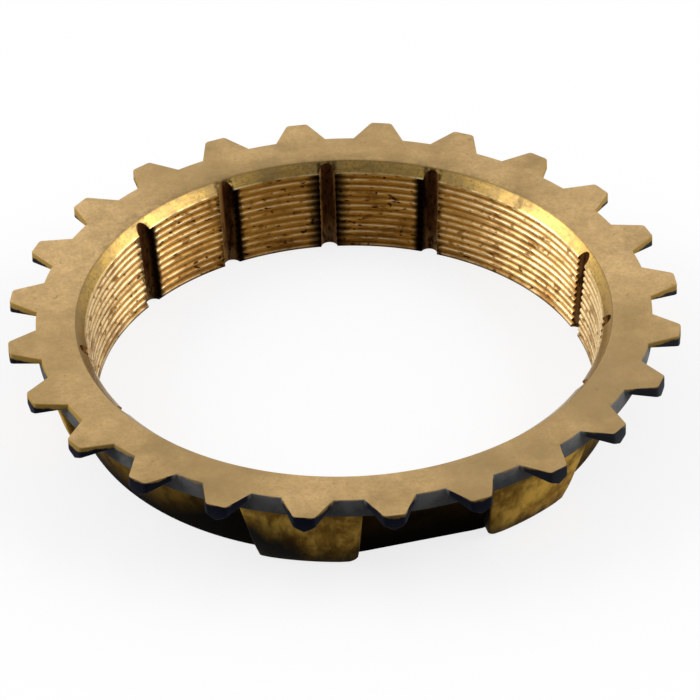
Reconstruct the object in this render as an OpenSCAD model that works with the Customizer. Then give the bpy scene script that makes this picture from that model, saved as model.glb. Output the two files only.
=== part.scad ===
// Single-cone synchronizer ring: a toothed brass ring with a threaded, oil-grooved friction cone,
// and three key slots between lugs on its lower side. The axis is +Z, the flat toothed face is on top,
// and the origin is on the axis in the plane of the lower rim. Millimetres and degrees.

/* [Friction cone] */
// Diameter of the cone where the mouth chamfer ends
cone_d = 61.4; // [50:0.1:75]
// Half angle of the cone
cone_angle = 5.5; // [4:0.1:7]
// Height and width of the chamfer at the mouth
mouth_chamfer = 1.3; // [0.8:0.1:1.8]
// Pitch of the fine thread
thread_pitch = 1.0; // [0.8:0.05:1.4]
// Depth of the fine thread
thread_depth = 0.3; // [0.15:0.05:0.4]
// Share of the pitch that is the flat of a crest
thread_crest = 0.3; // [0.2:0.05:0.4]

/* [Oil grooves] */
// Groove places from one key slot to the next, counting the empty one behind the slot
groove_places = 5; // [3:1:6]
// Width of a groove
groove_w = 2.0; // [1.2:0.1:2.4]
// Depth of a groove
groove_depth = 0.9; // [0.5:0.1:1.1]

/* [Rim] */
// Height from the lower rim to the flat top face
ring_h = 11.4; // [9.5:0.1:14]
// Width of the flat top face, from the mouth chamfer to the tooth roots
rim_w = 4.6; // [4:0.1:6]
// Height of the plain rim that carries the teeth
rim_h = 2.4; // [1.8:0.1:3.2]

/* [Teeth] */
// Number of teeth
tooth_count = 24; // [18:6:30]
// Radial height of a tooth
tooth_h = 3.4; // [2.4:0.1:4]
// Width of a tooth at its tip
tooth_tip_w = 2.5; // [1.5:0.1:3]
// Slope of a tooth's flanks from its centre line
flank_angle = 27; // [20:1:30]
// Height of the flanks at the tip
flank_h = 1.5; // [0.8:0.1:1.6]
// Slope of the two pointing faces under a tooth
pointing_angle = 28; // [20:1:36]
// Height of the rim's lower edge below the ridge at a tooth's root
ridge_land = 0.15; // [0.1:0.05:0.6]
// How far a tooth's foot is fused into the rim
tooth_bite = 1.0; // [0.6:0.1:1.6]

/* [Skirt and lugs] */
// Wall of the skirt between the lugs, at the lower rim
skirt_wall = 2.3; // [1.8:0.1:2.8]
// Step under the rim between the lugs
skirt_step = 2.2; // [1.4:0.1:2.6]
// Half angle of a pair of lugs, at the rim
lug_span = 35.5; // [30:0.5:44]
// Inward slope of the lugs' outer faces
lug_draft = 16; // [8:0.5:17]
// Slope of the lugs' ends
lug_end_draft = 8; // [3:1:20]
// Height of the bevel at the lugs' lower edge
lug_bevel_h = 2.4; // [1:0.1:3]
// Width of the bevel at the lugs' lower edge
lug_bevel_w = 1.0; // [0.5:0.1:1.2]

/* [Key slots] */
// Number of key slots
slot_count = 3; // [2:1:3]
// Width of a key slot
slot_w = 15.6; // [12:0.1:18]
// Rounding of the lugs' lower corners beside a key slot
slot_flare = 1.2; // [0.6:0.1:1.6]
// Wall between a key slot's flat floor and the cone
slot_wall = 1.1; // [0.9:0.1:1.5]

/* [Hidden] */
$fn = 96;
// Reach of the cutting tools past the ring
past = 5;
root_r = cone_d / 2 + mouth_chamfer + rim_w;
tip_r = root_r + tooth_h;
rim_z = ring_h - rim_h;
cone_z = ring_h - mouth_chamfer;
slot_step = 360 / slot_count;
first_slot = -90;
groove_r = groove_w / 2;
thread_turns = floor(cone_z / thread_pitch);
thread_flank = 0.25 * thread_pitch;
// How far the rounding of a lug's corner passes below the lower rim, so that it meets it at an edge
flare_drop = 0.1;

function cone_r(z) = cone_d / 2 - (cone_z - z) * tan(cone_angle);
function lug_r(z) = root_r - (rim_z - z) * tan(lug_draft);

// One turn of the fine thread, as points up the cone: crest, flank, root, flank
function thread_turn(z) = let (
        crest_end = z + thread_crest * thread_pitch,
        root_start = crest_end + thread_flank,
        root_end = z + thread_pitch - thread_flank)
    [[cone_r(z), z],
     [cone_r(crest_end), crest_end],
     [cone_r(root_start) + thread_depth, root_start],
     [cone_r(root_end) + thread_depth, root_end]];

// Section of the turned ring: mouth chamfer, rim, stepped skirt and threaded cone
module turned_section() {
    thread = [for (turn = [0 : thread_turns - 1]) each thread_turn(turn * thread_pitch)];
    polygon(concat(thread, [
        [cone_r(thread_turns * thread_pitch), thread_turns * thread_pitch],
        [cone_r(cone_z), cone_z],
        [cone_r(cone_z) + mouth_chamfer, ring_h],
        [root_r, ring_h],
        [root_r, rim_z],
        [root_r - skirt_step, rim_z],
        [cone_r(0) + skirt_wall, 0]]));
}

// Section of a lug, from inside the skirt's wall to the drafted outer face
module lug_section() {
    polygon([
        [cone_r(0) + slot_wall, 0],
        [lug_r(lug_bevel_h) - lug_bevel_w, 0],
        [lug_r(lug_bevel_h), lug_bevel_h],
        [root_r, rim_z],
        [cone_r(rim_z) + slot_wall, rim_z]]);
}

// Everything on the near side of a lug end, which leans in towards the lower rim
module inside_lug_end() {
    rotate([0, 0, lug_span])
        translate([0, 0, rim_z])
            rotate([-lug_end_draft, 0, 0])
                translate([0, -2 * tip_r, -2 * ring_h])
                    cube([2 * tip_r, 2 * tip_r, 4 * ring_h]);
}

// The band of metal that a key slot parts into two lugs
module lug_pair() {
    intersection() {
        rotate_extrude() lug_section();
        inside_lug_end();
        mirror([0, 1, 0]) inside_lug_end();
    }
}

// Outline of a key slot seen from outside: straight walls that round out at the lugs' lower corners
module slot_outline() {
    wall = slot_w / 2;
    difference() {
        translate([-wall - slot_flare, -past])
            square([slot_w + 2 * slot_flare, past + rim_z]);
        for (side = [-1, 1])
            translate([side * (wall + slot_flare), slot_flare - flare_drop]) {
                circle(slot_flare);
                translate([-slot_flare, 0]) square([2 * slot_flare, ring_h]);
            }
    }
}

// A key slot below the rim, its flat floor parallel to the cone behind it
module key_slot() {
    intersection() {
        rotate([90, 0, 90])
            linear_extrude(tip_r + past)
                slot_outline();
        rotate([90, 0, 0])
            translate([0, 0, -slot_w])
                linear_extrude(2 * slot_w)
                    polygon([
                        [cone_r(-2 * past) + slot_wall, -2 * past],
                        [tip_r + 2 * past, -2 * past],
                        [tip_r + 2 * past, ring_h],
                        [cone_r(ring_h) + slot_wall, ring_h]]);
    }
}

// A tooth: a straight-flanked outline, pointed below by two faces that meet in a ridge
module tooth() {
    half_tip = tooth_tip_w / 2;
    half_foot = half_tip + (tooth_h + tooth_bite) * tan(flank_angle);
    ridge_tip_z = ring_h - flank_h - half_tip * tan(pointing_angle);
    ridge_tilt = atan2(ridge_tip_z - rim_z - ridge_land, tooth_h);
    roof_w = half_foot + past;
    roof_h = roof_w * tan(pointing_angle);
    intersection() {
        linear_extrude(ring_h)
            polygon([
                [root_r - tooth_bite, -half_foot],
                [tip_r, -half_tip],
                [tip_r, half_tip],
                [root_r - tooth_bite, half_foot]]);
        translate([tip_r, 0, ridge_tip_z])
            rotate([0, -ridge_tilt, 0])
                translate([-tooth_h - past, 0, 0])
                    rotate([90, 0, 90])
                        linear_extrude(tooth_h + 2 * past)
                            polygon([
                                [0, 0],
                                [roof_w, roof_h],
                                [roof_w, roof_h + ring_h],
                                [-roof_w, roof_h + ring_h],
                                [-roof_w, roof_h]]);
    }
}

// A round-bottomed oil groove along the cone, running out in the mouth chamfer
module oil_groove() {
    translate([cone_r(0) + groove_depth - groove_r, 0, 0])
        rotate([0, cone_angle, 0])
            translate([0, 0, -past])
                cylinder(r = groove_r, h = ring_h + 2 * past);
}

module synchro_ring() {
    color([0.72, 0.59, 0.37])
        difference() {
            union() {
                rotate_extrude() turned_section();
                for (slot = [0 : slot_count - 1])
                    rotate([0, 0, first_slot + slot * slot_step])
                        lug_pair();
                for (i = [0 : tooth_count - 1])
                    rotate([0, 0, first_slot + (i + 0.5) * 360 / tooth_count])
                        tooth();
            }
            for (slot = [0 : slot_count - 1])
                rotate([0, 0, first_slot + slot * slot_step]) {
                    key_slot();
                    for (place = [1 : groove_places - 1])
                        rotate([0, 0, place * slot_step / groove_places])
                            oil_groove();
                }
        }
}

synchro_ring();
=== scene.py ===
# %% [markdown]
# A synchronizer ring is a brass brake for a gear. It is forged, turned on a lathe and then toothed, so its
# parts are all one piece of metal: a toothed rim, a tapered bore with a fine thread and oil grooves, and
# lugs with key slots below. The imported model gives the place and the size. It could be shown as it is, but
# its edges are all sharp, so this script makes a finely meshed ring with softened edges in the same place,
# and gives each surface the finish that machining and use left on it.

import math

import bmesh
import bpy
from mathutils import Matrix, Vector


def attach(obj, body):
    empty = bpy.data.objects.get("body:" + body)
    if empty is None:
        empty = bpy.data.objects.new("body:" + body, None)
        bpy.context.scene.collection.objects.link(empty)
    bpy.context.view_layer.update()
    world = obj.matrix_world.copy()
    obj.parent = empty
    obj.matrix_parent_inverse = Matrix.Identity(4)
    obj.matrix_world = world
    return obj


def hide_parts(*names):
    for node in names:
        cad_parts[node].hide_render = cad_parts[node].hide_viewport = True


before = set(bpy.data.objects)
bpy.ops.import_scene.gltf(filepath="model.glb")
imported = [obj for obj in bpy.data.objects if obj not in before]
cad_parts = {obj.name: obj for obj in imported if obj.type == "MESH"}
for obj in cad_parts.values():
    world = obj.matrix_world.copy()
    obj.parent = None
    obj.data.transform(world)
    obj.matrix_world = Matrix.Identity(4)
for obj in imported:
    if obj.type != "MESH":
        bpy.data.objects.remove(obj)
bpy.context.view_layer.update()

# %% [markdown]
# The ring's sizes, in metres. They repeat the drawing's own values: a cone with its mouth chamfer, a flat
# rim outside it, and teeth outside the rim. Coordinates could be typed in one by one, but named sizes show
# what follows from what, and every later step works its places out from these.

# %% Sizes of the ring
MM = 0.001
cone_d = 61.4 * MM
cone_slope = math.tan(math.radians(5.5))
mouth_chamfer = 1.3 * MM
ring_h = 11.4 * MM
rim_w = 4.6 * MM
rim_h = 2.4 * MM
tooth_h = 3.4 * MM
rim_z = ring_h - rim_h
cone_z = ring_h - mouth_chamfer
mouth_r = cone_d / 2 + mouth_chamfer
root_r = mouth_r + rim_w
tip_r = root_r + tooth_h
slot_count = 3
slot_step = math.tau / slot_count
first_slot = -math.pi / 2


def cone_r(z):
    """Radius of the friction cone at a height."""
    return cone_d / 2 - (cone_z - z) * cone_slope


# %% [markdown]
# Each surface of the ring has its own finish, so the mesh has one material slot for each, in one fixed
# order. Finishes could be handed out at the very end, but then every face would have to be found again.
# Here the cutting tools carry the finish that they leave behind: a groove cutter leaves groove faces. The
# colours and bumps come later; this cell only names the slots and makes the tools that keep them.

# %% Finishes in a fixed order
finish_names = ["turned_face", "mouth_chamfer", "cone_thread", "oil_groove", "tooth_flank", "oily_skirt",
                "forged_lug"]
finishes = [bpy.data.materials.new(name) for name in finish_names]
FACE, MOUTH, THREAD, GROOVE, FLANK, SKIRT, LUG = range(len(finish_names))


def add_object(name, data):
    """Makes an object at the origin and adds it to the scene."""
    made = bpy.data.objects.new(name, data)
    bpy.context.scene.collection.objects.link(made)
    return made


def make_piece(name, bm):
    """Turns a bmesh into an object that has every finish in its slots."""
    mesh = bpy.data.meshes.new(name)
    bmesh.ops.recalc_face_normals(bm, faces=bm.faces)
    bm.to_mesh(mesh)
    bm.free()
    for finish in finishes:
        mesh.materials.append(finish)
    return add_object(name, mesh)


def give_finish(bm, index):
    """Gives every face of a bmesh one finish."""
    for face in bm.faces:
        face.material_index = index


def combine(piece, tool, operation):
    """Cuts a tool out of a piece or fuses it on, and removes the tool."""
    modifier = piece.modifiers.new("combine", "BOOLEAN")
    modifier.operation = operation
    modifier.solver = "MANIFOLD"
    modifier.material_mode = "INDEX"
    modifier.object = tool
    depsgraph = bpy.context.evaluated_depsgraph_get()
    result = bpy.data.meshes.new_from_object(piece.evaluated_get(depsgraph))
    piece.modifiers.clear()
    piece.data = result
    bpy.data.objects.remove(tool)
    print(operation.lower(), "leaves", len(result.polygons), "faces")


print("finishes:", ", ".join(finish_names))

# %% [markdown]
# A lathe makes the blank, so a spin makes it here. Its section is drawn once in the XZ plane: up the cone
# over the crests and roots of the thread, out along the mouth chamfer, across the flat face, down the rim
# and back along the skirt. A real thread is one long helix; closed turns look the same at so fine a pitch,
# and they spin together with the rest. They are a little finer than in the drawing, as on the real ring.
# Corners are rounded on the flat section with a vertex bevel, which is easier than beveling a thousand
# edges afterwards.

# %% Section of the blank
thread_pitch = 0.9 * MM
thread_depth = 0.3 * MM
crest_share = 0.3
flank_share = 0.25
thread_turns = int(cone_z / thread_pitch)
skirt_wall = 2.3 * MM
skirt_step = 2.2 * MM
rim_round = 0.2 * MM
rim_foot_round = 0.12 * MM
mouth_round = 0.25 * MM
skirt_round = 0.5 * MM
crest_round = 0.05 * MM


def thread_turn(z):
    """Crest, flank, root and flank of one turn, going up the cone."""
    shares = [0, crest_share, crest_share + flank_share, 1 - flank_share]
    depths = [0, 0, thread_depth, thread_depth]
    heights = [z + share * thread_pitch for share in shares]
    return [(cone_r(height) + depth, height) for height, depth in zip(heights, depths)]


def draw_section(bm, points):
    """Draws a closed section in the XZ plane."""
    return bm.faces.new([bm.verts.new((r, 0, z)) for r, z in points])


def round_corners(bm, points, radius, segments=3):
    """Rounds the section's corners that lie at these points."""
    corners = [min(bm.verts, key=lambda v: (v.co - Vector((r, 0, z))).length) for r, z in points]
    bmesh.ops.bevel(bm, geom=corners, offset=radius, affect="VERTICES", segments=segments, profile=0.5,
                    material=-1)


thread_top = thread_turns * thread_pitch
skirt_foot = (cone_r(0) + skirt_wall, 0)
mouth_foot = (cone_r(cone_z), cone_z)
mouth_edge = (mouth_r, ring_h)
rim_top = (root_r, ring_h)
rim_foot = (root_r, rim_z)
section = [point for turn in range(thread_turns) for point in thread_turn(turn * thread_pitch)]
section += [(cone_r(thread_top), thread_top), mouth_foot, mouth_edge, rim_top, rim_foot,
            (root_r - skirt_step, rim_z), skirt_foot]
bm = bmesh.new()
draw_section(bm, section)
round_corners(bm, [rim_top], rim_round)
round_corners(bm, [mouth_edge], mouth_round)
round_corners(bm, [rim_foot], rim_foot_round)
round_corners(bm, [skirt_foot], skirt_round)
crests = [point for turn in range(1, thread_turns) for point in thread_turn(turn * thread_pitch)[:2]]
round_corners(bm, crests + [mouth_foot], crest_round, segments=2)
print("section has", len(bm.verts), "corners and", thread_turns, "turns of thread")

# %% [markdown]
# The outline is now spun once round the axis, and its two ends are merged where they meet. Each face of the
# blank then takes its finish from where it lies. Faces could be picked by hand, but on a turned part a
# radius and a height are enough; the bands say how far round a corner a finish reaches.

# %% Spin the blank
spin_steps = 480
rim_band = 0.25 * MM
face_band = 0.2 * MM
mouth_band = 0.3 * MM
root_band = 0.1 * MM
rim_level = 0.75
bmesh.ops.delete(bm, geom=list(bm.faces), context="FACES_ONLY")
bmesh.ops.spin(bm, geom=list(bm.edges) + list(bm.verts), cent=(0, 0, 0), axis=(0, 0, 1), angle=math.tau,
               steps=spin_steps, use_merge=True)


def blank_finish(face):
    """The finish of a face of the blank, from where it lies."""
    middle = face.calc_center_median()
    r = middle.xy.length
    if r > root_r - rim_band:
        return FLANK if face.normal.z < rim_level else FACE
    if middle.z > ring_h - face_band and r > mouth_r:
        return FACE
    if middle.z > cone_z and r < mouth_r + mouth_band:
        return MOUTH
    if r < cone_r(middle.z) + thread_depth + root_band and middle.z > 0:
        return THREAD
    return SKIRT


bmesh.ops.recalc_face_normals(bm, faces=bm.faces)
bm.normal_update()
for face in bm.faces:
    face.material_index = blank_finish(face)
ring = make_piece("brass_ring", bm)
print("blank has", len(ring.data.polygons), "faces")

# %% [markdown]
# Three key slots are cut into the skirt, for the keys that push the ring. A slot's floor is flat and leans
# with the cone behind it. Its cutter could be drawn corner by corner, but a cube already has the right
# faces, so its corners are only moved: the inner ones back to that slope, and the outer ones past the
# teeth. One cutter is copied round the axis, and a single Boolean makes all the cuts.

# %% Cut the key slots
slot_w = 15.6 * MM
slot_wall = 1.1 * MM
slot_flare = 1.2 * MM
past = 4 * MM


def all_parts(bm):
    """Every vertex, edge and face of a bmesh, the way many operators take them."""
    return list(bm.verts) + list(bm.edges) + list(bm.faces)


def turned_copies(bm, angles):
    """Copies everything round the axis to these angles, and removes the pattern."""
    pattern = all_parts(bm)
    corners = list(bm.verts)
    for angle in angles:
        copy = bmesh.ops.duplicate(bm, geom=pattern)["geom"]
        turned = [item for item in copy if isinstance(item, bmesh.types.BMVert)]
        bmesh.ops.rotate(bm, verts=turned, cent=(0, 0, 0), matrix=Matrix.Rotation(angle, 3, "Z"))
    bmesh.ops.delete(bm, geom=corners, context="VERTS")


slot_angles = [first_slot + slot * slot_step for slot in range(slot_count)]
bm = bmesh.new()
bmesh.ops.create_cube(bm, size=1)
for corner in bm.verts:
    z = -past if corner.co.z < 0 else rim_z
    r = cone_r(z) + slot_wall if corner.co.x < 0 else tip_r + past
    corner.co = (r, corner.co.y * (slot_w + 2 * slot_flare), z)
give_finish(bm, SKIRT)
turned_copies(bm, slot_angles)
combine(ring, make_piece("slot_cutters", bm), "DIFFERENCE")

# %% [markdown]
# Twelve oil grooves let the oil out of the thread, so that it can grip. They could be part of the section
# only if they ran all round, so they are cut, with a round bar, because their floors are round. The bar
# leans with the cone, and runs out by itself in the mouth chamfer. There are five groove places from slot
# to slot, and the one behind each slot stays empty.

# %% Cut the oil grooves
groove_places = 5
groove_step = slot_step / groove_places
groove_r = 1.0 * MM
groove_depth = 0.9 * MM
bar_sides = 32
groove_angles = [slot + gap * groove_step for slot in slot_angles for gap in range(1, groove_places)]
bm = bmesh.new()
bmesh.ops.create_cone(bm, cap_ends=True, segments=bar_sides, radius1=groove_r, radius2=groove_r,
                      depth=ring_h + 2 * past)
lean = Matrix.Rotation(math.atan(cone_slope), 4, "Y")
middle_z = ring_h / 2
lean.translation = Vector((cone_r(middle_z) + groove_depth - groove_r, 0, middle_z))
bmesh.ops.transform(bm, verts=bm.verts, matrix=lean)
give_finish(bm, GROOVE)
turned_copies(bm, groove_angles)
combine(ring, make_piece("groove_cutters", bm), "DIFFERENCE")

# %% [markdown]
# A pair of lugs stands beside each slot. A lug is a short piece of a turned ring, so a part of a spin makes
# it; a straight block would not follow the rim. The first and last steps of the sweep are long ones, so
# that the cuts at the ends leave no slivers and the edges can be beveled evenly.

# %% Sweep one lug
lug_slope = math.tan(math.radians(16))
lug_bevel_h = 2.4 * MM
lug_bevel_w = 1.0 * MM
lug_foot_round = 1.0 * MM
lug_seat = 1.0 * MM
lug_rise = 1.2 * MM
lug_inset = 0.1 * MM
sweep_start = math.radians(9)
sweep_parts = ((8, 1), (14, 18), (9, 1))  # degrees and steps
same_place = 0.001 * MM


def lug_r(z):
    """Radius of a lug's drafted outer face at a height."""
    return root_r - lug_inset - (rim_z - z) * lug_slope


bm = bmesh.new()
lug_foot = (lug_r(lug_bevel_h) - lug_bevel_w, 0)
lug_face_foot = (lug_r(lug_bevel_h), lug_bevel_h)
seat_z = rim_z + lug_rise
draw_section(bm, [(cone_r(0) + lug_seat, 0), lug_foot, lug_face_foot, (lug_r(rim_z), rim_z),
                  (lug_r(rim_z), seat_z), (cone_r(seat_z) + lug_seat, seat_z)])
round_corners(bm, [lug_face_foot], lug_foot_round, segments=4)
bmesh.ops.rotate(bm, verts=bm.verts, cent=(0, 0, 0), matrix=Matrix.Rotation(sweep_start, 3, "Z"))
sweep = all_parts(bm)
for degrees, steps in sweep_parts:
    sweep = bmesh.ops.spin(bm, geom=sweep, cent=(0, 0, 0), axis=(0, 0, 1), angle=math.radians(degrees),
                           steps=steps)["geom_last"]
bmesh.ops.remove_doubles(bm, verts=bm.verts, dist=same_place)
bmesh.ops.recalc_face_normals(bm, faces=bm.faces)
print("lug sweep has", len(bm.faces), "faces")

# %% [markdown]
# Plane cuts trim the sweep: along the slot's wall, in a few small steps round its lower corner, and at the
# lug's own sloping end. That corner could be beveled, but a bevel would follow the lug's foot, and plane
# cuts run straight through as the slot does. All sharp edges then get one small bevel. A mirrored copy
# makes the pair, and copies of the pair go to the three slots.

# %% Trim the lug and set the pairs
lug_span = math.radians(35.5)
lug_end_draft = math.radians(8)
lug_edge = 0.3 * MM
lug_sharp = math.radians(35)
corner_steps = 4


def trim(bm, point, normal):
    """Cuts off what lies on the normal's side of a plane, and closes the cut."""
    cut = bmesh.ops.bisect_plane(bm, geom=all_parts(bm), plane_co=point, plane_no=normal,
                                 clear_outer=True)
    edges = [item for item in cut["geom_cut"] if isinstance(item, bmesh.types.BMEdge)]
    bmesh.ops.edgeloop_fill(bm, edges=edges)


def soften_edges(bm, angle, width):
    """Bevels the edges whose faces meet at more than an angle."""
    bmesh.ops.recalc_face_normals(bm, faces=bm.faces)
    sharp = [edge for edge in bm.edges if len(edge.link_faces) == 2 and edge.calc_face_angle() > angle]
    bmesh.ops.bevel(bm, geom=sharp, offset=width, affect="EDGES", segments=3, profile=0.5, material=-1)


trim(bm, (0, slot_w / 2, 0), (0, -1, 0))
for step in range(1, corner_steps + 1):
    turn = step * math.pi / 2 / (corner_steps + 1)
    outward = Vector((0, -math.cos(turn), -math.sin(turn)))
    trim(bm, Vector((0, slot_w / 2 + slot_flare, slot_flare)) + slot_flare * outward, outward)
end_turn = Matrix.Rotation(lug_span, 3, "Z") @ Matrix.Rotation(-lug_end_draft, 3, "X")
trim(bm, (0, 0, rim_z), end_turn @ Vector((0, 1, 0)))
soften_edges(bm, lug_sharp, lug_edge)
give_finish(bm, LUG)
bmesh.ops.mirror(bm, geom=all_parts(bm), matrix=Matrix.Identity(4), merge_dist=0, axis="Y")
turned_copies(bm, slot_angles)
combine(ring, make_piece("lugs", bm), "UNION")

# %% [markdown]
# The teeth are straight-flanked stubs, pointed below so that the shift sleeve's teeth can find the gaps.
# One tooth starts as its outline with rounded tips, extruded down. Its pointed underside could be made by
# moving corners, but two plane cuts leave it flat on both sides of the ridge. A small bevel gives the worn
# edges. The tooth reaches a little way into the rim, so that the two fuse cleanly.

# %% Shape one tooth
tooth_tip_w = 2.5 * MM
flank_slope = math.tan(math.radians(27))
flank_h = 1.5 * MM
pointing_angle = math.radians(28)
ridge_land = 0.15 * MM
tooth_bite = 1.0 * MM
tip_round = 0.32 * MM
tooth_edge = 0.16 * MM
tooth_sharp = math.radians(32)
tooth_level = 0.85

half_tip = tooth_tip_w / 2
foot_r = root_r - tooth_bite
half_foot = half_tip + (tooth_h + tooth_bite) * flank_slope
ridge_tip_z = ring_h - flank_h - half_tip * math.tan(pointing_angle)
ridge_tilt = math.atan2(ridge_tip_z - rim_z - ridge_land, tooth_h)
bm = bmesh.new()
outline = [bm.verts.new((r, y, ring_h)) for r, y in
           ((foot_r, -half_foot), (tip_r, -half_tip), (tip_r, half_tip), (foot_r, half_foot))]
bm.faces.new(outline)
bmesh.ops.bevel(bm, geom=outline[1:3], offset=tip_round, affect="VERTICES", segments=4, profile=0.5,
                material=-1)
drop = bmesh.ops.extrude_face_region(bm, geom=list(bm.faces))["geom"]
lowered = [item for item in drop if isinstance(item, bmesh.types.BMVert)]
bmesh.ops.translate(bm, verts=lowered, vec=(0, 0, -2 * rim_h))
bmesh.ops.recalc_face_normals(bm, faces=bm.faces)
for side in (1, -1):
    tilt = Matrix.Rotation(-ridge_tilt, 3, "Y") @ Matrix.Rotation(side * pointing_angle, 3, "X")
    trim(bm, (tip_r, 0, ridge_tip_z), tilt @ Vector((0, 0, -1)))
soften_edges(bm, tooth_sharp, tooth_edge)
bm.normal_update()
for face in bm.faces:
    face.material_index = FACE if face.normal.z > tooth_level else FLANK
print("one tooth has", len(bm.faces), "faces")

# %% [markdown]
# Twenty-four teeth stand round the rim, evenly spaced, with a gap at the middle of each slot. An array
# modifier could repeat the tooth too, but the copies that already served the slots do it in one line.

# %% Set the teeth round the rim
tooth_count = 24
turned_copies(bm, [first_slot + (tooth + 0.5) * math.tau / tooth_count for tooth in range(tooth_count)])
combine(ring, make_piece("teeth", bm), "UNION")

# %% [markdown]
# The ring is now one closed shell. Shading could be left flat, but then the spin's steps would show, so
# curved faces are shaded smooth and edges over 35 degrees stay crisp. The shell stands for the imported ring
# and rides on its body.

# %% Shade the finished shell
crisp_angle = math.radians(35)
ring.data.shade_smooth()
ring.data.set_sharp_from_angle(angle=crisp_angle)
bm = bmesh.new()
bm.from_mesh(ring.data)
open_edges = sum(1 for edge in bm.edges if len(edge.link_faces) != 2)
print("triangles:", sum(len(face.verts) - 2 for face in bm.faces), "open edges:", open_edges,
      "volume, mm3:", round(bm.calc_volume() / MM ** 3, 1))
bm.free()
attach(ring, "root")
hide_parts("synchro_ring")

# %% [markdown]
# The finishes are built from a few kinds of shader nodes. They could be set up by hand in the editor, but
# short helpers keep them readable: steps of arithmetic, a noise for stains and grain, a smooth fade and a
# straight ramp from one value to another, and a mix of two colours. The last ones give the place on the
# ring as radius, height and angle, all from Object coordinates, so every stain keeps its place on the
# metal, and open and close a finish.

# %% Helpers for the finishes
def add_node(tree, kind, inputs, **settings):
    """Adds a shader node. Each input is a plain value or the output of an earlier node."""
    made = tree.nodes.new("ShaderNode" + kind)
    for name, value in settings.items():
        setattr(made, name, value)
    for name, value in inputs.items():
        if isinstance(value, bpy.types.NodeSocket):
            tree.links.new(value, made.inputs[name])
        else:
            made.inputs[name].default_value = value
    return made


def calc(tree, operation, *values):
    """One step of arithmetic on numbers and node outputs."""
    return add_node(tree, "Math", dict(enumerate(values)), operation=operation).outputs[0]


def part_of(tree, mask, share):
    """A mask times a share: a plain number for a weaker mask, or another mask for their overlap."""
    return calc(tree, "MULTIPLY", mask, share)


def plus(tree, base, mask, amount):
    """A value with an amount of a mask or a noise added to it."""
    return calc(tree, "MULTIPLY_ADD", mask, amount, base)


def less(tree, mask, share):
    """1 where a mask is 0, and a share less than 1 where it is full."""
    return plus(tree, 1.0, mask, -share)


def cloud(tree, place, scale, detail=4.0, roughness=0.6):
    """Noise from 0 to 1, with this many patches to the metre."""
    inputs = {"Vector": place, "Scale": scale, "Detail": detail, "Roughness": roughness}
    return add_node(tree, "TexNoise", inputs).outputs[0]


def fade(tree, value, start, end):
    """0 up to the start and 1 past the end, with a smooth step between them."""
    inputs = {"Value": value, "From Min": start, "From Max": end}
    return add_node(tree, "MapRange", inputs, interpolation_type="SMOOTHSTEP").outputs[0]


def ramp(tree, value, low, high, start=0.0, end=1.0):
    """Low up to the start and high past the end, with a straight slope between them."""
    inputs = {"Value": value, "From Min": start, "From Max": end, "To Min": low, "To Max": high}
    return add_node(tree, "MapRange", inputs).outputs[0]


def paint(tree, share, under, over):
    """Lays one colour over another by a share from 0 to 1."""
    return add_node(tree, "Mix", {0: share, 6: under, 7: over}, data_type="RGBA").outputs[2]


def stretched(tree, place, scale):
    """Squeezes or stretches a pattern along the axes."""
    return add_node(tree, "Mapping", {"Vector": place, "Scale": scale}).outputs[0]


def along(tree, place, axis):
    """One coordinate of a place."""
    return add_node(tree, "SeparateXYZ", {0: place}).outputs[axis]


def ring_place(tree):
    """Place on the ring: the point, its radius, its height and its angle."""
    place = add_node(tree, "TexCoord", {}).outputs["Object"]
    split = add_node(tree, "SeparateXYZ", {0: place})
    flat = add_node(tree, "CombineXYZ", {"X": split.outputs["X"], "Y": split.outputs["Y"]}).outputs[0]
    radius = add_node(tree, "VectorMath", {0: flat}, operation="LENGTH").outputs["Value"]
    angle = calc(tree, "ARCTAN2", split.outputs["Y"], split.outputs["X"])
    return place, radius, split.outputs["Z"], angle


def open_finish(index, metallic, specular=0.5):
    """Opens a finish for painting: its node tree and its shader."""
    finishes[index].use_nodes = True
    tree = finishes[index].node_tree
    shader = tree.nodes["Principled BSDF"]
    shader.inputs["Metallic"].default_value = metallic
    shader.inputs["Specular IOR Level"].default_value = specular
    return tree, shader


def close_finish(tree, shader, colour, roughness, height, depth):
    """Links the painted colour, the roughness and a relief to the shader."""
    tree.links.new(colour, shader.inputs["Base Color"])
    tree.links.new(roughness, shader.inputs["Roughness"])
    relief = add_node(tree, "Bump", {"Height": height, "Distance": depth})
    tree.links.new(relief.outputs[0], shader.inputs["Normal"])
    print("finish made with", len(tree.nodes), "nodes")


print(len(finishes), "finishes to paint")

# %% [markdown]
# The flat face was ground and has dulled to a satin tan. Wide soft clouds of lighter and darker brass lie
# on it, with brown smudges where oil dried, a fine grain, a few dark dots, and soot along the inner edge at
# the back. Two areas are rubbed pale and two have darkened: each is given by its middle and its reach, as
# angles round the ring, and the clouds make its border wander. An image could hold all this, but noise
# needs no image and stays sharp close up.

# %% Turned face
tan_pale = (0.76, 0.50, 0.215, 1)
tan_light = (0.645, 0.414, 0.166, 1)
tan_dark = (0.45, 0.29, 0.104, 1)
smudge_and_shade_brown = (0.28, 0.18, 0.066, 1)
grain_brown = (0.36, 0.225, 0.075, 1)
pale_areas = ((0.12, 0.42), (2.42, 0.5))  # middle and reach in radians
dark_areas = ((-0.72, 0.36), (-1.4, 0.24))


def angle_from(tree, angle, middle):
    """How far an angle is from a middle, on either side, in radians."""
    return calc(tree, "ABSOLUTE", calc(tree, "SUBTRACT", angle, middle))


def near_angle(tree, angle, middle, reach):
    """1 round a middle, fading to 0 at a reach on both sides, in radians."""
    return fade(tree, angle_from(tree, angle, middle), reach, reach / 3)


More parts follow.
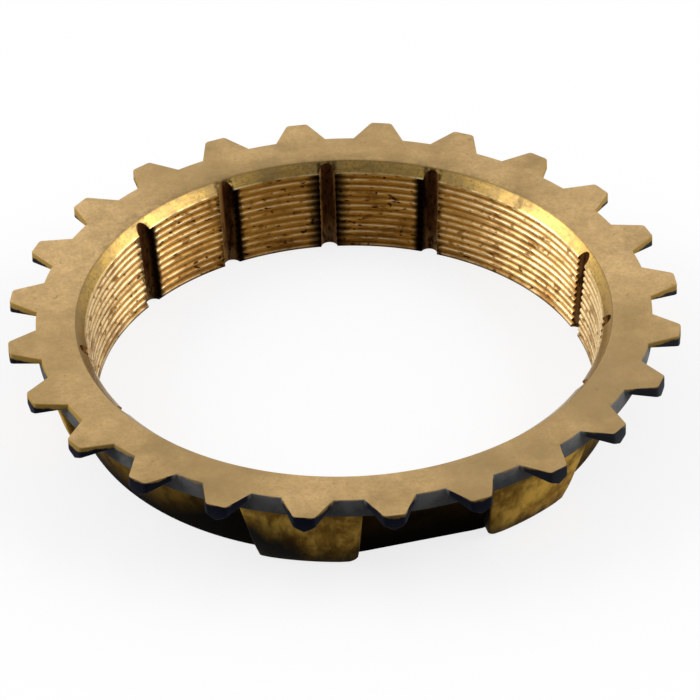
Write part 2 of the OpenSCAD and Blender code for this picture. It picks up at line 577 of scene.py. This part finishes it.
tree, shader = open_finish(FACE, 0.3)
place, radius, height, angle = ring_place(tree)
patches = cloud(tree, place, 60, 6, 0.65)
smudges = fade(tree, cloud(tree, place, 120, 6, 0.65), 0.5, 0.72)
mottles = cloud(tree, place, 380, 5)
grain = cloud(tree, place, 2600, 3)
dots = fade(tree, cloud(tree, place, 1000, 2), 0.69, 0.76)
colour = paint(tree, fade(tree, patches, 0.36, 0.64), tan_light, tan_dark)
wander = plus(tree, calc(tree, "SUBTRACT", angle, 0.25), patches, 0.5)
for middle, reach in pale_areas:
    rubbed = near_angle(tree, wander, middle, reach)
    colour = paint(tree, part_of(tree, rubbed, 0.85), colour, tan_pale)
for middle, reach in dark_areas:
    darkened = near_angle(tree, wander, middle, reach)
    colour = paint(tree, part_of(tree, darkened, 0.45), colour, smudge_and_shade_brown)
colour = paint(tree, part_of(tree, smudges, 0.65), colour, smudge_and_shade_brown)
colour = paint(tree, part_of(tree, fade(tree, mottles, 0.36, 0.64), 0.36), colour, grain_brown)
colour = paint(tree, part_of(tree, fade(tree, grain, 0.4, 0.64), 0.34), colour, grain_brown)
colour = paint(tree, part_of(tree, dots, 0.6), colour, smudge_and_shade_brown)
at_back = fade(tree, along(tree, place, "Y"), 8 * MM, 22 * MM)
inner_edge = part_of(tree, at_back, fade(tree, radius, mouth_r + 2 * MM, mouth_r + 0.2 * MM))
soot = part_of(tree, inner_edge, fade(tree, cloud(tree, place, 420, 6, 0.7), 0.42, 0.62))
colour = paint(tree, part_of(tree, soot, 0.6), colour, smudge_and_shade_brown)
roughness = ramp(tree, patches, 0.42, 0.6)
close_finish(tree, shader, colour, roughness, grain, 0.01 * MM)

# %% [markdown]
# The mouth chamfer guides the gear's cone in, so it is the brightest part: bare golden metal with a low
# roughness, scratched a little along the turning direction, darker in patches and pits, and rubbed bright
# along its lower lip. Painted shade darkens it on the far left side, towards the front and in a line along
# its upper edge. At the back, where a film of oil and painted shade darken the cone below, it has a thin
# black crust at the tops of the grooves. The distance to the nearest groove could be measured from each of
# the twelve, but the angle, folded once for each groove place, gives it in a few nodes.

# %% Mouth chamfer
gold_bright = (0.61, 0.38, 0.09, 1)
gold_dull = (0.39, 0.255, 0.09, 1)
lip_gold = (0.95, 0.74, 0.36, 1)
oil_and_shade_black = (0.004, 0.002, 0.001, 1)
film_middle = math.radians(80)


def fold_distance(tree, angle, step):
    """Distance along the cone to the nearest place, with places a step apart from the first slot on."""
    turns = calc(tree, "DIVIDE", calc(tree, "SUBTRACT", angle, first_slot), step)
    return part_of(tree, calc(tree, "PINGPONG", turns, 0.5), step * cone_r(0))


def groove_distance(tree, angle):
    """Distance along the cone to the middle of the nearest groove place, in metres."""
    return fold_distance(tree, angle, groove_step)


def stain_and_shade(tree, mask):
    """A mask that fades evenly to the eye, for dark stains and painted shade on light metal."""
    return calc(tree, "POWER", mask, 0.45)


tree, shader = open_finish(MOUTH, 0.85)
place, radius, height, angle = ring_place(tree)
patches = cloud(tree, place, 240, 6, 0.65)
lines = cloud(tree, stretched(tree, place, (1, 1, 14)), 420, 3)
pits = cloud(tree, place, 2600, 3, 0.7)
colour = paint(tree, fade(tree, patches, 0.4, 0.66), gold_bright, gold_dull)
colour = paint(tree, part_of(tree, fade(tree, lines, 0.48, 0.68), 0.5), colour, smudge_and_shade_brown)
colour = paint(tree, part_of(tree, fade(tree, pits, 0.51, 0.62), 0.7), colour, smudge_and_shade_brown)
# Painted shade: the far left side of the chamfer is darkened.
shaded_far_left = fade(tree, calc(tree, "ABSOLUTE", angle), 2.6, 2.95)
colour = paint(tree, part_of(tree, shaded_far_left, 0.7), colour, smudge_and_shade_brown)
# Painted shade: the chamfer is darkened towards the front.
to_front = fade(tree, along(tree, place, "Y"), 4 * MM, -12 * MM)
colour = paint(tree, part_of(tree, to_front, 0.6), colour, smudge_and_shade_brown)
lip = fade(tree, height, cone_z + 0.2 * MM, cone_z + 0.08 * MM)
colour = paint(tree, part_of(tree, lip, fade(tree, patches, 0.62, 0.4)), colour, lip_gold)
# Painted shade: a dark line along the chamfer's upper edge.
rim_line = fade(tree, height, ring_h - 0.3 * MM, ring_h - 0.12 * MM)
colour = paint(tree, part_of(tree, rim_line, 0.6), colour, smudge_and_shade_brown)
crust = part_of(tree, fade(tree, groove_distance(tree, angle), 1.25 * MM, 0.95 * MM),
                fade(tree, height, ring_h - 0.1 * MM, ring_h - 0.3 * MM))
crust = part_of(tree, crust, fade(tree, cloud(tree, place, 900, 5, 0.7), 0.42, 0.58))
crust = part_of(tree, crust, near_angle(tree, angle, film_middle, 1.1))
colour = paint(tree, part_of(tree, stain_and_shade(tree, crust), 0.85), colour, oil_and_shade_black)
roughness = ramp(tree, patches, 0.2, 0.46)
close_finish(tree, shader, colour, roughness, lines, 0.012 * MM)

# %% [markdown]
# The thread is what grips the gear's cone. Its crests are bare gold, rubbed along their upper edges, where a
# thin highlight is painted, and its roots are a darker brown. Crest and root could be two materials, but the
# change between them is soft: how far a point lies behind the cone's surface tells one from the other, and
# its
# height within one turn finds the edge for the painted highlight. A brown film covers one side of the cone:
# partly dried oil, partly painted shade at the back of the bore.

# %% Cone thread: metal and oil film
edge_gold_highlight = (1.0, 0.83, 0.5, 1)
crest_gold = (0.97, 0.71, 0.34, 1)
root_brown = (0.40, 0.19, 0.04, 1)
oil_brown = (0.22, 0.092, 0.014, 1)
film_and_shade_brown = (0.46, 0.21, 0.024, 1)
bare_metallic = 0.8
flattened = (1, 1, 2)
tree, shader = open_finish(THREAD, bare_metallic, 0.0)
place, radius, height, angle = ring_place(tree)
cone_here = plus(tree, cone_r(0), height, cone_slope)
depth = calc(tree, "SUBTRACT", radius, cone_here)
share = calc(tree, "FRACT", calc(tree, "DIVIDE", height, thread_pitch))
patches = cloud(tree, place, 260, 6, 0.65)
grime = cloud(tree, stretched(tree, place, flattened), 1300, 4)
rubbed = cloud(tree, stretched(tree, place, (1, 1, 6)), 170, 5, 0.65)
from_middle = angle_from(tree, angle, film_middle)
# Painted shade and dried oil: a brown film over the back of the cone.
film_and_shade = fade(tree, plus(tree, from_middle, patches, 0.4), 1.2, 0.55)
colour = paint(tree, fade(tree, depth, 0.05 * MM, 0.24 * MM), crest_gold, root_brown)
colour = paint(tree, part_of(tree, film_and_shade, 0.9), colour, film_and_shade_brown)
settled = plus(tree, patches, fade(tree, height, 5 * MM, 0), 0.12)
colour = paint(tree, part_of(tree, fade(tree, settled, 0.48, 0.68), 0.7), colour, oil_brown)
# The thread is painted darker towards the far left.
darker_far_left = fade(tree, calc(tree, "ABSOLUTE", angle), 2.62, 2.85)
colour = paint(tree, part_of(tree, darker_far_left, 0.4), colour, root_brown)
colour = paint(tree, part_of(tree, fade(tree, rubbed, 0.5, 0.34), 0.45), colour, oil_brown)
# Painted highlight on rubbed metal: a bright line along each crest's upper edge.
upper_edge = part_of(tree, fade(tree, share, 0.2, 0.27), fade(tree, share, 0.4, 0.31))
worn_edge_highlight = part_of(tree, upper_edge, fade(tree, rubbed, 0.4, 0.56))
worn_edge_highlight = part_of(tree, worn_edge_highlight, less(tree, film_and_shade, 0.3))
colour = paint(tree, worn_edge_highlight, colour, edge_gold_highlight)
colour = paint(tree, part_of(tree, fade(tree, grime, 0.52, 0.7), 0.6), colour, root_brown)
print("thread has", len(tree.nodes), "nodes so far")

# %% [markdown]
# Dirt lies over that metal: brown spots, and dark specks that are fewer high up on the cleaner side. The
# foot is painted darker in a thin line. Black oil has run from the grooves towards the film: a small turn of
# the angle before folding shifts each smear to that side of its groove, and a thinner crust lies along both
# sides. Dirt could simply be a darker metal, but oil hides the metal, so the shader is less metallic there.

# %% Cone thread: dirt and smears
speck_brown = (0.06, 0.02, 0.004, 1)
smear_turn = 0.55 * MM / cone_r(0)


def turned_to_film(tree, angle, turn):
    """The angle, turned so that a pattern shifts towards the side of the cone that the film covers."""
    return calc(tree, "ADD", angle, ramp(tree, angle, -turn, turn, 1.0, 1.8))


def slot_distance(tree, angle):
    """Distance along the cone to the middle of the nearest slot, in metres."""
    return fold_distance(tree, angle, slot_step)


spots = cloud(tree, stretched(tree, place, flattened), 560, 2)
specks = cloud(tree, stretched(tree, place, flattened), 1050, 1)
spotted = part_of(tree, fade(tree, spots, 0.58, 0.68), 0.8)
colour = paint(tree, spotted, colour, oil_brown)
# The foot of the thread is painted darker in a thin line.
foot_line = fade(tree, height, 0.45 * MM, 0.1 * MM)
colour = paint(tree, part_of(tree, foot_line, 0.7), colour, speck_brown)
clean_side = part_of(tree, fade(tree, angle, 1.15, 0.75), fade(tree, height, 1.5 * MM, 5 * MM))
dirty = less(tree, fade(tree, from_middle, 0.7, 1.3), 0.6)
dirty = part_of(tree, dirty, less(tree, clean_side, 0.8))
speckled = part_of(tree, dirty, stain_and_shade(tree, fade(tree, specks, 0.64, 0.74)))
colour = paint(tree, speckled, colour, speck_brown)
spread = plus(tree, 0.5 * MM, cloud(tree, place, 700, 5, 0.7), 1.9 * MM)
spread = plus(tree, spread, depth, 1.6)
spread = plus(tree, spread, fade(tree, from_middle, 0.3, 0.1), 1.1 * MM)
from_groove = groove_distance(tree, turned_to_film(tree, angle, smear_turn))
smear = stain_and_shade(tree, fade(tree, from_groove, spread, 0.9 * MM))
edge_crust = part_of(tree, fade(tree, groove_distance(tree, angle), 1.9 * MM, 1.05 * MM),
                     plus(tree, 0.4, fade(tree, grime, 0.46, 0.6), 0.5))
smear = calc(tree, "MAXIMUM", smear, edge_crust)
smear = part_of(tree, smear, fade(tree, from_middle, 1.1, 0.9))
smear = part_of(tree, smear, fade(tree, slot_distance(tree, angle), 6 * MM, 7 * MM))
colour = paint(tree, smear, colour, oil_and_shade_black)
covered = calc(tree, "MAXIMUM", part_of(tree, film_and_shade, 0.6), smear)
covered = calc(tree, "MAXIMUM", covered, speckled)
covered = calc(tree, "MAXIMUM", covered, part_of(tree, spotted, 0.6))
bare = plus(tree, bare_metallic, covered, -bare_metallic)
tree.links.new(bare, shader.inputs["Metallic"])
roughness = ramp(tree, grime, 0.22, 0.5)
close_finish(tree, shader, colour, roughness, grime, 0.012 * MM)

# %% [markdown]
# The oil grooves were never rubbed, so they hold burnt oil: brown along the floor with black crusts, rusty
# and paler towards the lower end. The wall on the film's side is painted black, as shade, and the other wall
# is a lighter rust brown. On one side of the ring a paler rust spreads to the floor beside that wall, where
# it faces the right-hand lamp: rust and painted light. One dark colour would look like a painted stripe, so
# streaks that run up and down break it up.

# %% Oil grooves
groove_brown = (0.085, 0.03, 0.008, 1)
groove_rust = (0.34, 0.165, 0.048, 1)
groove_pale = (0.36, 0.24, 0.11, 1)
tree, shader = open_finish(GROOVE, 0.0, 0.03)
place, radius, height, angle = ring_place(tree)
streaks = cloud(tree, stretched(tree, place, (1, 1, 0.25)), 700, 4)
crust = cloud(tree, stretched(tree, place, (1, 1, 0.4)), 1700, 4, 0.7)
low = fade(tree, height, 5 * MM, 0.5 * MM)
walls = fade(tree, groove_distance(tree, angle), 0.55 * MM, 0.85 * MM)
colour = paint(tree, fade(tree, streaks, 0.45, 0.65), groove_brown, speck_brown)
colour = paint(tree, part_of(tree, low, fade(tree, streaks, 0.42, 0.6)), colour, groove_rust)
colour = paint(tree, part_of(tree, walls, fade(tree, streaks, 0.62, 0.45)), colour, groove_rust)
colour = paint(tree, part_of(tree, fade(tree, crust, 0.5, 0.62), 0.75), colour, oil_and_shade_black)
colour = paint(tree, part_of(tree, fade(tree, crust, 0.44, 0.3), 0.3), colour, groove_rust)
pale_end = part_of(tree, fade(tree, height, 3.4 * MM, 0.8 * MM), fade(tree, crust, 0.6, 0.42))
colour = paint(tree, part_of(tree, pale_end, 0.6), colour, groove_pale)
from_other_wall = groove_distance(tree, turned_to_film(tree, angle, -smear_turn))
# Rust and painted light: paler rust beside the wall that faces the right-hand lamp.
lamp_facing_side = fade(tree, angle, 1.45, 1.75)
rust_and_light_strip = part_of(tree, fade(tree, from_other_wall, 0.55 * MM, 0.2 * MM), lamp_facing_side)
rust_and_light_strip = part_of(tree, rust_and_light_strip, fade(tree, streaks, 0.36, 0.52))
colour = paint(tree, rust_and_light_strip, colour, groove_rust)
# Painted shade: the wall on the film's side is black.
near_film = fade(tree, angle_from(tree, angle, film_middle), 1.1, 0.9)
shaded_wall = part_of(tree, fade(tree, from_other_wall, 1.15 * MM, 1.6 * MM), near_film)
colour = paint(tree, stain_and_shade(tree, shaded_wall), colour, oil_and_shade_black)
roughness = ramp(tree, streaks, 0.45, 0.7)
close_finish(tree, shader, colour, roughness, streaks, 0.03 * MM)

# %% [markdown]
# The flanks of the teeth and the lands between them were left as they came from the die. They are painted
# slate and blue black, a painted reflection of the dark surroundings. The lands are a lighter slate than the
# tips, both are painted paler on the right, as light from that side, and along the top edges the brass shows
# through, worn, most of all on the far side of the ring. The worn edge could be found from the mesh's sharp
# edges, but a height with some noise does it as well, because all the top edges lie at one height.

# %% Tooth flanks and root lands
slate = (0.165, 0.166, 0.164, 1)
slate_dark = (0.072, 0.076, 0.082, 1)
slate_lit = (0.25, 0.25, 0.245, 1)
blue_black = (0.004, 0.005, 0.013, 1)
worn_gold = (0.50, 0.31, 0.08, 1)
tree, shader = open_finish(FLANK, 0.0, 0.05)
place, radius, height, angle = ring_place(tree)
patches = cloud(tree, place, 240, 4)
grain = cloud(tree, place, 1500, 3)
on_tooth = fade(tree, radius, root_r + 0.15 * MM, root_r + 0.7 * MM)
lit_from_right = fade(tree, along(tree, place, "X"), 4 * MM, 26 * MM)
to_front = fade(tree, along(tree, place, "Y"), -8 * MM, -30 * MM)
# Painted reflection: lands and tips are painted slate and blue black, as the dark surroundings they mirror.
colour = paint(tree, fade(tree, patches, 0.38, 0.66), slate, slate_dark)
# Painted light: lands and tips are painted paler towards the right.
colour = paint(tree, part_of(tree, lit_from_right, 0.5), colour, slate_lit)
tip_colour = paint(tree, part_of(tree, lit_from_right, 0.4), blue_black, slate_dark)
colour = paint(tree, on_tooth, colour, tip_colour)
worn_line = plus(tree, ring_h - 1.65 * MM, cloud(tree, place, 300, 5), 1.9 * MM)
worn_line = plus(tree, worn_line, to_front, 0.6 * MM)
worn = fade(tree, calc(tree, "SUBTRACT", height, worn_line), -0.12 * MM, 0.16 * MM)
worn = part_of(tree, worn, less(tree, to_front, 0.6))
colour = paint(tree, worn, colour, worn_gold)
roughness = ramp(tree, patches, 0.5, 0.72)
close_finish(tree, shader, colour, roughness, grain, 0.02 * MM)

# %% [markdown]
# Below the rim the forging was not turned again. The skirt is almost black, darker towards the bottom, with
# a brown band just under the rim, and the slots are painted black as shade. A level edge to the black would
# look drawn, so noise makes it uneven; it reaches highest near the outer end of one front lug, as painted
# shade, and lower on the right, as painted light: a place's height above that edge depends on how far
# across the ring it lies.

# %% Oily skirt
skirt_gold = (0.30, 0.17, 0.03, 1)
skirt_brown = (0.09, 0.05, 0.012, 1)
skirt_black = (0.005, 0.004, 0.003, 1)


def above_dark_line(tree, place, height):
    """Height, lowered near one front lug's end as painted shade, raised to the right as painted light."""
    across = along(tree, place, "X")
    away = calc(tree, "ABSOLUTE", calc(tree, "ADD", across, 20 * MM))
    lowered = calc(tree, "ADD", height, ramp(tree, away, -3.4 * MM, 1.2 * MM, 1 * MM, 7 * MM))
    return calc(tree, "ADD", lowered, ramp(tree, across, 0.0, 1.6 * MM, 4 * MM, 14 * MM))


tree, shader = open_finish(SKIRT, 0.0, 0.01)
place, radius, height, angle = ring_place(tree)
patches = cloud(tree, place, 330, 6)
grain = cloud(tree, place, 1400, 3)
# Painted shade and light: the black's edge rises near one front lug's end and sinks on the right.
uneven_height = plus(tree, above_dark_line(tree, place, height), patches, 3.0 * MM)
colour = paint(tree, fade(tree, patches, 0.4, 0.65), skirt_gold, skirt_brown)
colour = paint(tree, fade(tree, uneven_height, 8.5 * MM, 3.3 * MM), colour, skirt_black)
# Painted shade: the slots are darkened.
in_slot = fade(tree, slot_distance(tree, angle), 7.6 * MM, 6.6 * MM)
colour = paint(tree, part_of(tree, in_slot, 0.78), colour, skirt_black)
roughness = ramp(tree, patches, 0.6, 0.85)
close_finish(tree, shader, colour, roughness, grain, 0.02 * MM)

# %% [markdown]
# The lugs' outer faces have been handled, so they are golden with soft brown streaks that run up and down.
# Their foot and the walls beside the slots are painted black, the other walls a darker brown, all as shade,
# and the dark at the foot runs up in the same streaks. The walls could have a finish of their own, but it
# would end sharply at the rounded edge; how far a point lies behind the drafted outer face tells the walls
# from the face more softly.

# %% Forged lugs
lug_gold = (1.0, 0.60, 0.11, 1)
lug_brown = (0.26, 0.11, 0.014, 1)
tree, shader = open_finish(LUG, 0.0, 0.02)
place, radius, height, angle = ring_place(tree)
patches = cloud(tree, place, 280, 6, 0.65)
streaks = cloud(tree, stretched(tree, place, (1, 1, 0.16)), 480, 3)
grain = cloud(tree, place, 1400, 3)
lug_here = plus(tree, lug_r(0), height, lug_slope)
behind_lug = calc(tree, "SUBTRACT", lug_here, radius)
uneven_height = plus(tree, above_dark_line(tree, place, height), patches, 2.4 * MM)
uneven_height = plus(tree, uneven_height, streaks, -5.0 * MM)
colour = paint(tree, part_of(tree, fade(tree, patches, 0.4, 0.64), 0.85), lug_gold, lug_brown)
colour = paint(tree, part_of(tree, fade(tree, streaks, 0.46, 0.66), 0.7), colour, lug_brown)
# Painted shade: the foot is black, rising near one front lug's end and in streaks.
colour = paint(tree, stain_and_shade(tree, fade(tree, uneven_height, 3.4 * MM, -0.4 * MM)), colour, skirt_black)
# Painted shade: the walls are darkened, brown, and black beside the slots.
wall = fade(tree, behind_lug, 0.15 * MM, 0.8 * MM)
colour = paint(tree, part_of(tree, wall, 0.7), colour, lug_brown)
slot_side = fade(tree, slot_distance(tree, angle), 13 * MM, 9 * MM)
colour = paint(tree, stain_and_shade(tree, part_of(tree, slot_side, wall)), colour, skirt_black)
roughness = ramp(tree, patches, 0.45, 0.7)
close_finish(tree, shader, colour, roughness, grain, 0.02 * MM)

# %% [markdown]
# The camera stands in front and a little to the left, looking down at the ring through a long lens. It
# could be dragged into place by eye, but its place was fitted to the outline of the ring; the small roll is
# part of that fit.

# %% Camera
aim = Vector((-1.35 * MM, -7.39 * MM, ring_h))
view_distance = 841.1 * MM
view_azimuth = -105.03
view_elevation = 36.29
view_roll = math.radians(-1.49)


def direction(azimuth, elevation):
    """A unit vector towards a place round the ring, in degrees."""
    a, e = math.radians(azimuth), math.radians(elevation)
    return Vector((math.cos(e) * math.cos(a), math.cos(e) * math.sin(a), math.sin(e)))


def looking_back(spot, away):
    """A spot, turned so that what stands there looks back along a direction."""
    return Matrix.Translation(spot) @ away.to_track_quat("Z", "Y").to_matrix().to_4x4()


camera_data = bpy.data.cameras.new("camera")
camera_data.sensor_width = 36
camera_data.lens = 367
camera_data.clip_start = 0.05
camera = add_object("camera", camera_data)
towards = direction(view_azimuth, view_elevation)
roll = Matrix.Rotation(view_roll, 4, "Z")
camera.matrix_world = looking_back(aim + view_distance * towards, towards) @ roll
bpy.context.scene.camera = camera
print("camera at", [round(c, 4) for c in camera.matrix_world.translation])

# %% [markdown]
# The floor is plain. A floor that is white for all light would flood the ring's dark underside, so only
# what the camera sees, directly, in a mirror or through glass, is nearly white with a soft shadow; for all
# other light it is a quiet grey.

# %% Floor
floor_reach = 3
white = (1, 1, 1, 1)
bench_grey = (0.18, 0.18, 0.18, 1)
glow_share = 0.8
bm = bmesh.new()
bmesh.ops.create_grid(bm, x_segments=1, y_segments=1, size=floor_reach)
floor_mesh = bpy.data.meshes.new("floor")
bm.to_mesh(floor_mesh)
bm.free()
floor = add_object("floor", floor_mesh)
floor_white = bpy.data.materials.new("floor_white")
floor_white.use_nodes = True
floor_mesh.materials.append(floor_white)
tree = floor_white.node_tree
tree.nodes.remove(tree.nodes["Principled BSDF"])
rays = add_node(tree, "LightPath", {}).outputs
seen = calc(tree, "MAXIMUM", calc(tree, "MAXIMUM", rays["Is Camera Ray"], rays["Is Glossy Ray"]),
            rays["Is Transmission Ray"])
glow = add_node(tree, "Emission", {"Color": white, "Strength": 1.0}).outputs[0]
paper = add_node(tree, "BsdfDiffuse", {"Color": white}).outputs[0]
bench = add_node(tree, "BsdfDiffuse", {"Color": bench_grey}).outputs[0]
shadowed = add_node(tree, "MixShader", {0: glow_share, 1: paper, 2: glow}).outputs[0]
surface = add_node(tree, "MixShader", {0: seen, 1: bench, 2: shadowed}).outputs[0]
tree.links.new(surface, tree.nodes["Material Output"].inputs["Surface"])
print("floor is", floor.dimensions[:2], "metres")

# %% [markdown]
# One lamp would light only one side of the bore, so two wide soft boxes stand to the left and the right:
# the chamfer and the thread light up on both sides and stay darker at the back. The world fills in the rest
# with an even grey that is dimmer on the camera's side, as a room is behind the one who looks.

# %% Light
box_distance = 1.0
box_size = 0.66
box_power = 5.7
fill_front = 0.04
fill_back = 0.88


def soft_box(name, azimuth, elevation):
    """A square lamp that looks at the ring."""
    lamp_data = bpy.data.lights.new(name, "AREA")
    lamp_data.shape = "SQUARE"
    lamp_data.size = box_size
    lamp_data.energy = box_power
    lamp = add_object(name, lamp_data)
    away = direction(azimuth, elevation)
    lamp.matrix_world = looking_back(box_distance * away, away)
    print(name, "at", [round(c, 2) for c in lamp.matrix_world.translation])


soft_box("box_left", 156, 30)
soft_box("box_right", -13, 33)
world = bpy.data.worlds.new("studio")
bpy.context.scene.world = world
world.use_nodes = True
tree = world.node_tree
to_back = along(tree, add_node(tree, "TexCoord", {}).outputs["Generated"], "Y")
fill = ramp(tree, to_back, fill_front, fill_back, -1, 1)
tree.links.new(fill, tree.nodes["Background"].inputs["Strength"])
tree.nodes["Background"].inputs["Color"].default_value = white
bpy.context.scene.view_settings.view_transform = "Standard"
